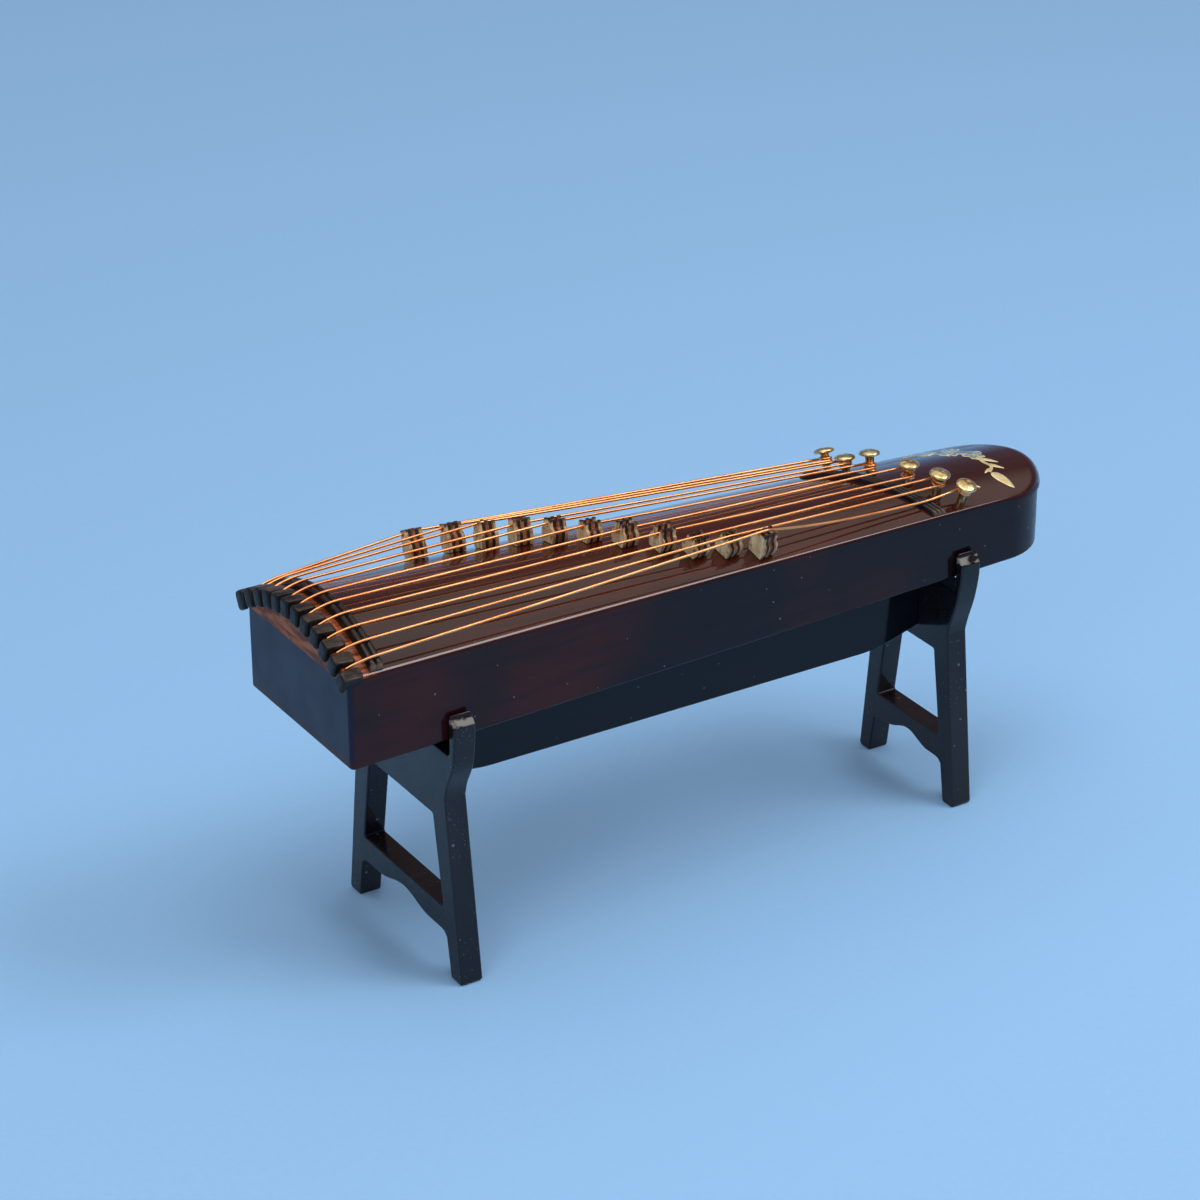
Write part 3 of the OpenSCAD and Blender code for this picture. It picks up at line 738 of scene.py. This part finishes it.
def ribbon(shape, points, widths, lift, slot):
    """A tapering stroke laid on the dome."""
    left, right = [], []
    for i, p in enumerate(points):
        ahead = (points[min(i + 1, len(points) - 1)] - points[max(i - 1, 0)]).normalized()
        aside = Vector((-ahead.y, ahead.x)) * widths[i] / 2
        left.append(p + aside)
        right.append(p - aside)
    rings = [
        [(q.x, q.y, dome_z(q.x, q.y, dz)) for q, dz in ((a, 0.0), (a, lift), (b, lift), (b, 0.0))]
        for a, b in zip(left, right)
    ]
    shape.skin(rings, slot)


def leaf_outline(x, y, turn, l, w):
    """A pointed leaf from its root at x and y."""
    flat = []
    for i in range(24):
        u = 2 * math.pi * i / 24
        along = l * (1 - math.cos(u)) / 2
        aside = w / 2 * math.sin(u) * (0.7 + 0.3 * math.cos(u))
        flat.append(Vector((x, y)) + Matrix.Rotation(turn, 2) @ Vector((along, aside)))
    return flat


def blossom_outline(x, y, r, petals, turn):
    return [
        Vector((x + q * math.cos(a), y + q * math.sin(a)))
        for a in [2 * math.pi * i / (petals * 10) for i in range(petals * 10)]
        for q in [r * (0.8 + 0.2 * math.cos(petals * (a - turn)))]
    ]


STEM_X, STEM_R, STEM_STEPS = TAIL_CX - 7.2, 9.0, 60
# Blossoms: degrees round the stem, distance outside it, radius, petals
BLOSSOMS = [(42, 0.3, 2.7, 6), (15, 0.5, 2.1, 5), (68, 0.1, 1.7, 5)]
# Their rings: share of the radius, height over the deck, material slot
BLOSSOM_LAYERS = [(1.0, 0.05, 0), (0.86, 0.065, 1), (0.5, 0.08, 0), (0.38, 0.09, 1), (0.2, 0.1, 0)]
# Leaves: degrees round the stem, lean in degrees, length, width, 1 where the middle is teal
LEAVES = [
    (90, 42, 3.0, 1.3, 1), (80, -38, 2.8, 1.2, 1), (58, -46, 3.6, 1.5, 1), (56, 38, 4.0, 1.6, 1),
    (31, 40, 3.8, 1.6, 1), (28, 205, 3.0, 1.2, 1), (4, 34, 3.4, 1.2, 0), (0, 205, 3.0, 1.1, 0),
    (-12, 50, 3.0, 1.1, 0), (-22, -40, 2.2, 0.9, 0),
]
sprig = Shape()


def stem_at(degrees, grow=0.0):
    a = math.radians(degrees)
    return Vector((STEM_X + (STEM_R + grow) * math.cos(a), (STEM_R + grow) * math.sin(a)))


stem = [stem_at(96 - 2.15 * i, 0.3 * math.sin(i * 0.5)) for i in range(STEM_STEPS)]
stem_w = [0.4 + 0.5 * math.sin(math.pi * i / (STEM_STEPS - 1)) for i in range(STEM_STEPS)]
ribbon(sprig, stem, stem_w, 0.05, 0)
for degrees, grow, r, petals in BLOSSOMS:
    p = stem_at(degrees, grow)
    for share, lift, slot in BLOSSOM_LAYERS:
        patch(sprig, blossom_outline(p.x, p.y, r * share, petals, 0.3), lift, slot)
for degrees, lean, l, w, slot in LEAVES:
    p = stem_at(degrees)
    outline_pts = leaf_outline(p.x, p.y, math.radians(degrees - 90 + lean), l, w)
    patch(sprig, outline_pts, 0.05, 0)
    if slot == 1:
        patch(sprig, [p + (q - p) * 0.84 for q in outline_pts], 0.062, 1)
p = stem_at(-31)
patch(sprig, leaf_outline(p.x, p.y, math.radians(-77), 5.0, 2.7), 0.06, 0)
piece("tail_inlay_leaf", sprig, [gold_leaf, teal_leaf], "instrument", ["tail_inlay"], sharp=60)

# ---- Nuts, pegs and nails ----


def ridged_bar(shape, ridges, width, height, floor, s_at, y0, y1, steps):
    """A bar across the deck with rounded ridges along it. s_at gives its middle at y."""
    per = 8
    section = [(-width / 2, -0.25)]
    for r in range(ridges):
        for i in range(per + 1):
            u = i / per
            dz = floor + (height - floor) * math.sin(math.pi * u) ** 0.5
            section.append((-width / 2 + width * (r + u) / ridges, dz))
    section.append((width / 2, -0.25))
    rings, tones = [], []
    for i in range(steps + 1):
        y = y0 + (y1 - y0) * i / steps
        from_end = min(y - y0, y1 - y)
        low_end = 0.45 + 0.55 * math.sqrt(1 - (1 - min(from_end / 0.8, 1.0)) ** 2)
        rough = 0.05 * noise.noise(Vector((y * 0.9, 3.1, ridges)))
        rings.append([deck_pt(s_at(y) + ds, y, dz * low_end + rough * (dz > 0)) for ds, dz in section])
        tones += [0.6 * ease(1.1, 0.2, from_end) + (0.18 if dz > 0.9 * height else 0.0) for ds, dz in section]
    shape.skin(rings, 0, True, tones)


bar = Shape()
nut_s = HEAD_NUT_S + HEAD_NUT_W / 2
nut_y = half_w(HEAD_X + nut_s) - 0.1
ridged_bar(bar, 2, HEAD_NUT_W, HEAD_NUT_H, 0.95, lambda y: nut_s, -nut_y, nut_y, 90)
piece("head_nut_bar", bar, [nut_wood], "instrument", ["head_nut"], sharp=70)



def tail_nut_mid(y):
    return TAIL_NUT_S - math.tan(TAIL_NUT_A) * y


bar = Shape()
tail_nut_y = half_w(HEAD_X + TAIL_NUT_S) - 0.25
tail_nut_w = 2.25 / math.cos(TAIL_NUT_A)
ridged_bar(bar, 3, tail_nut_w, TAIL_NUT_H, 0.38, tail_nut_mid, -tail_nut_y, tail_nut_y, 70)
piece("tail_nut_bar", bar, [nut_wood], "instrument", ["tail_nut"], sharp=70)

# A peg's width along its length: place from -1 to 1, and share of the full width
PEG_ENDS = [(-1, 0.66), (-0.985, 0.8), (-0.93, 0.91), (-0.84, 0.98), (-0.7, 1.0), (-0.56, 1.0)]
PEG_ENDS += [(-0.46, 0.98), (-0.4, 0.97), (0.2, 1.0), (0.6, 0.99), (0.86, 0.97), (0.94, 0.9)]
PEG_ENDS += [(0.985, 0.8), (1, 0.66)]
PEG_SIDES = 28
pegs = Shape()
for j in range(STRING_N + 1):
    turn = (j - STRING_N / 2) * STEP_A
    size = rng.uniform(0.94, 1.0)
    length = PEG_L * rng.uniform(0.95, 1.0)
    twist = rng.uniform(-0.06, 0.06)
    rings, tones = [], []
    for u, swell in PEG_ENDS:
        low = PEG_UNDER + (PEG_DROP - PEG_UNDER) * ease(-0.4, -0.56, u)
        middle, half = (PEG_TOP - low) / 2, (PEG_TOP + low) / 2
        s = -PEG_OVER + PEG_L - length / 2 + length / 2 * u
        ring = []
        for q in range(PEG_SIDES):
            a = 2 * math.pi * q / PEG_SIDES
            ca, sa = math.cos(a), math.sin(a)
            v = math.copysign(abs(ca) ** 0.36, ca) * PEG_W / 2 * size * swell
            w = middle + math.copysign(abs(sa) ** 0.4, sa) * half * swell * size
            lump = 0.08 * noise.noise(Vector((s * 1.3 + j * 7, v * 1.1, w * 1.2)))
            ring.append(deck_turned(s, turn, w + lump, v + twist * s + lump))
            tones.append(ease(0.5, 1.15, w) * (0.55 + 0.3 * noise.noise(Vector((s, j * 3.0, v)))))
        rings.append(ring)
    pegs.skin(rings, 0, True, tones)
piece("string_pegs_row", pegs, [peg_wood], "instrument", ["string_pegs"], sharp=75)

NAIL_SIDES, NAIL_DENTS = 40, 16
nails = Shape()
for s, y, h in zip(NAIL_S, NAIL_Y, NAIL_H):
    at = on_deck(s, y)
    profile = [(NAIL_R, -1.5), (NAIL_R, 0.3), (NAIL_R, h - 1.2), (0.9, h - 1.06), (1.35, h - 1.0)]
    profile += [(1.68, h - 0.9), (NAIL_HEAD_R, h - 0.8), (NAIL_HEAD_R, h - 0.7)]
    turns = [i * math.pi / 26 for i in range(1, 13)]
    profile += [(NAIL_HEAD_R * math.cos(a), h - 0.68 + 0.64 * math.sin(a)) for a in turns]
    profile.append((0.05, h - 0.04))
    dents = [
        (rng.uniform(0, 2 * math.pi), rng.uniform(0.1, 1.5), rng.uniform(0.25, 0.5))
        for _ in range(NAIL_DENTS)
    ]
    tilt = Matrix.Rotation(rng.uniform(-0.04, 0.04), 4, "X")
    tilt @= Matrix.Rotation(rng.uniform(-0.04, 0.04), 4, "Y")
    rings = []
    for r, z in profile:
        ring = []
        for q in range(NAIL_SIDES):
            a = 2 * math.pi * q / NAIL_SIDES
            px, py, pz = r * math.cos(a), r * math.sin(a), z
            if z > h - 0.75:
                for turn, off, wide in dents:
                    d = math.hypot(px - off * math.cos(turn), py - off * math.sin(turn))
                    pz -= 0.06 * math.exp(-((d / wide) ** 2) * 2)
            ring.append(at @ (tilt @ Vector((px, py, pz))))
        rings.append(ring)
    nails.skin(rings)
piece("tuning_nails_brass", nails, [brass], "instrument", ["tuning_nails"], sharp=50)

# ---- Strings ----


def string_y0(i):
    return DECK_R * math.sin(((STRING_N - 1) / 2 - i) * STEP_A)


def nail_side(i):
    """The side of its nail that string i reaches: two strings share all but the last."""
    return 1 if i % 2 == 0 else -1


def bridge_at(i):
    return BRIDGE_S + BRIDGE_PITCH * i + BRIDGE_SHIFT_S[i]


def string_y(i, s):
    y0, y1 = string_y0(i), NAIL_Y[i // 2] + nail_side(i) * (NAIL_R + WIRE_R)
    end, bridge = NAIL_S[i // 2], bridge_at(i)
    share = s / bridge if s < bridge else (end - s) / (end - bridge)
    return y0 + (y1 - y0) * s / end + BRIDGE_SHIFT_Y[i] * share


def tail_nut_point(i):
    """Where string i crosses the tail nut, and how high: on a straight line to its nail, or on the nut."""
    s = tail_nut_mid(string_y(i, TAIL_NUT_S))
    low, end = STRING_END_DZ[i], NAIL_S[i // 2]
    straight = low + (STRING_DZ[i] - low) * (end - s) / (end - bridge_at(i))
    on_nut = TAIL_NUT_H + WIRE_R + 0.03
    return s, max(on_nut, straight if i < STRING_N - 1 else 0)


# The last string is alone on its nail and climbs to the head; its cut end sticks out by these steps
LAST_COIL, CUT_END = (2.0, 0.44), (0.5, 1.1, 1.7, 2.3, 2.9)


def coil_turns(i):
    """How many turns string i makes on its nail, and its rise in a turn: the lower of two winds down."""
    if i == STRING_N - 1:
        return LAST_COIL
    if nail_side(i) < 0:
        return 1.3, -WINDING_PITCH
    room = NAIL_H[i // 2] - 1.32 - STRING_END_DZ[i]
    return 0.95, min(0.2, room)


# How far each string hangs below a straight line between its bridge and the tail nut
SAG = [0.05, 0.05, 0.1, 0.1, 0.1, 0.15, 0.1, 0.1, 0.1, 0.15, 0.95]
turns = Shape()
for i in range(STRING_N):
    nail, side = NAIL_Y[i // 2], nail_side(i)
    bridge, end = bridge_at(i), NAIL_S[i // 2]
    nut, nut_dz = tail_nut_point(i)
    route = [(0.5, 0.32), (1.8, 0.95), (HEAD_NUT_S + 0.4, HEAD_NUT_H + WIRE_R + 0.06), (bridge, STRING_DZ[i])]
    route += [(nut, nut_dz), (end, STRING_END_DZ[i])]
    line = cornered(route, [0.7, 1.6, 0.9, 1.2])
    dense = [line[0]]
    for a, b in zip(line, line[1:]):
        steps = max(1, round((b - a).length / 1.5))
        dense += [a + (b - a) * k / steps for k in range(1, steps + 1)]
    path = []
    for s, dz in dense:
        if bridge < s < nut:
            dz -= SAG[i] * math.sin(math.pi * ((s - bridge) / (nut - bridge)) ** 0.85)
        drift = 0.06 * noise.noise(Vector((s * 0.06, i * 5.3, 0.5))) * ease(8, 20, s) * ease(end, end - 12, s)
        path.append(deck_pt(s, string_y(i, s) + drift, dz))
    wire = Shape()
    wire.tube(path, WIRE_R, 12)
    name = f"string_{i + 1:02d}"
    piece(name + "_wire", wire, [copper], "instrument", [name], sharp=80)
    at = on_deck(end, nail)
    count, rise = coil_turns(i)
    r = NAIL_R + WIRE_R
    coil = []
    for k in range(int(count * 24) + 1):
        u = k / 24
        a = side * (math.pi / 2 - 2 * math.pi * u)
        coil.append(at @ Vector((r * math.cos(a), r * math.sin(a), STRING_END_DZ[i] + rise * u)))
    if i == STRING_N - 1:
        top = STRING_END_DZ[i] + rise * count
        coil += [at @ Vector((x, r - 0.14 * x * x, top - 0.1 * x)) for x in CUT_END]
    turns.tube(coil, WIRE_R)
piece("string_windings_wire", turns, [copper], "instrument", ["string_windings"], sharp=80)

# ---- Bridges, each of five plies ----

PLY_SLOTS = [1, 2, 3, 2, 1]
PLY_GAP = 0.015
# The last string falls away steeply, so its notch is deeper
NOTCH_SLACK, NOTCH_HALF, LAST_NOTCH = 0.42, 0.52, 0.4
for i in range(STRING_N):
    h = BRIDGE_H[i]
    s = bridge_at(i)
    turn = math.radians(BRIDGE_TURN + i * BRIDGE_TURN_STEP)
    at = on_deck(s, string_y(i, s)) @ Matrix.Rotation(turn, 4, "Z")
    floor = STRING_DZ[i] - WIRE_R - NOTCH_SLACK - (LAST_NOTCH if i == STRING_N - 1 else 0)
    pitch = BRIDGE_T / len(PLY_SLOTS)
    block = Shape()
    for k, edge_slot in enumerate(PLY_SLOTS):
        wide = rng.uniform(0.9, 0.96) if k % 2 else rng.uniform(0.97, 1.0)
        top = h - (rng.uniform(0.0, 0.12) if k % 2 == 0 else rng.uniform(0.12, 0.3))
        low = min(floor, top - 0.2)
        foot, belly, neck = 1.55 * wide, 1.85 * wide, 1.12 * wide
        right = [(foot - 0.1, 0.04), (foot, 0.14), (belly, 0.3 * h), (belly - 0.04, 0.48 * h)]
        right += [(belly - 0.2, 0.57 * h), (neck + 0.1, 0.64 * h), (neck, 0.72 * h), (neck - 0.03, 0.9 * h)]
        right += [(neck - 0.16, top), (NOTCH_HALF + 0.06, top), (NOTCH_HALF, top - 0.08)]
        right += [(NOTCH_HALF - 0.05, low + 0.08), (NOTCH_HALF - 0.16, low)]
        left = [(-y, z) for y, z in reversed(right)]
        ragged = [
            Vector((y + 0.05 * noise.noise(Vector((y * 2, z * 2, i * 9 + k))), z)) for y, z in right + left
        ]

        def tone(u, v, t, h=h):
            return ease(0.5 * h, 0.98 * h, v)

        x0 = -BRIDGE_T / 2 + pitch * k + PLY_GAP
        x1 = x0 + pitch - 2 * PLY_GAP
        block.slab([ragged], lambda u, v, t: at @ Vector((t, u, v)), x0, x1, 0.06, edge_slot, 0, tone)
    name = f"bridge_{i + 1:02d}"
    looks = [ply_pale, *ply_edges]
    piece(name + "_plies", block, looks, name + "_body", [name], flat_faces=True)

# ---- Studio: floor, light and camera ----

bpy.ops.mesh.primitive_grid_add(x_subdivisions=8, y_subdivisions=8, size=8)
floor_obj = bpy.context.object
floor_obj.name = "studio_floor"
floor_obj.data.materials.append(paper())

# The sky's colours by height: a pale blue horizon, a dim band and a bright top
SKY = [
    (0.0, tint(148, 200, 247)), (0.14, tint(120, 150, 198)), (0.26, tint(104, 98, 118)),
    (0.56, tint(108, 88, 84)), (0.66, tint(208, 192, 180)), (1.0, tint(255, 255, 255)),
]
world = bpy.data.worlds.new("studio")
bpy.context.scene.world = world
world.use_nodes = True
tree = world.node_tree
tree.nodes.clear()
direction = tree.nodes.new("ShaderNodeTexCoord")
split = tree.nodes.new("ShaderNodeSeparateXYZ")
ramp = tree.nodes.new("ShaderNodeValToRGB")
stops = ramp.color_ramp.elements
stops[0].color = SKY[0][1]
stops[1].color = SKY[-1][1]
for position, colour in SKY[1:-1]:
    stops.new(position).color = colour
back = tree.nodes.new("ShaderNodeBackground")
back.inputs["Strength"].default_value = 0.95
sky = tree.nodes.new("ShaderNodeOutputWorld")
tree.links.new(direction.outputs["Generated"], split.inputs[0])
tree.links.new(split.outputs[2], ramp.inputs[0])
tree.links.new(ramp.outputs[0], back.inputs["Color"])
tree.links.new(back.outputs[0], sky.inputs["Surface"])


def soft_light(name, place, aim, width, depth, watts, colour):
    lamp = bpy.data.lights.new(name, "AREA")
    lamp.shape = "RECTANGLE"
    lamp.size, lamp.size_y = width, depth
    lamp.energy = watts
    lamp.color = colour
    obj = bpy.data.objects.new(name, lamp)
    bpy.context.scene.collection.objects.link(obj)
    obj.location = place
    obj.rotation_euler = (Vector(aim) - Vector(place)).to_track_quat("-Z", "Y").to_euler()


soft_light("overhead", (-0.10, -0.12, 0.85), (0, 0, 0.04), 0.55, 0.45, 1.6, (1.0, 0.98, 0.95))
soft_light("left_front", (-0.75, -0.55, 0.55), (0, 0, 0.05), 0.4, 0.4, 1.2, (1.0, 0.97, 0.93))
soft_light("right_front", (0.38, -0.34, 0.64), (0, 0, 0.06), 0.34, 0.3, 2.0, (1.0, 0.96, 0.94))

camera = bpy.data.cameras.new("camera")
camera.lens = 113.396
camera.sensor_width = 36.0
camera.clip_start, camera.clip_end = 0.01, 20.0
camera_obj = bpy.data.objects.new("camera", camera)
bpy.context.scene.collection.objects.link(camera_obj)
camera_obj.location = (-0.301038, -0.463270, 0.322276)
yaw, pitch, roll = math.radians(31.714), math.radians(-26.490), math.radians(-0.242)
camera_obj.rotation_mode = "QUATERNION"
aim = Matrix.Rotation(-yaw, 4, "Z") @ Matrix.Rotation(math.pi / 2 + pitch, 4, "X")
camera_obj.rotation_quaternion = (aim @ Matrix.Rotation(roll, 4, "Z")).to_quaternion()
bpy.context.scene.camera = camera_obj
bpy.context.scene.view_settings.view_transform = "Standard"
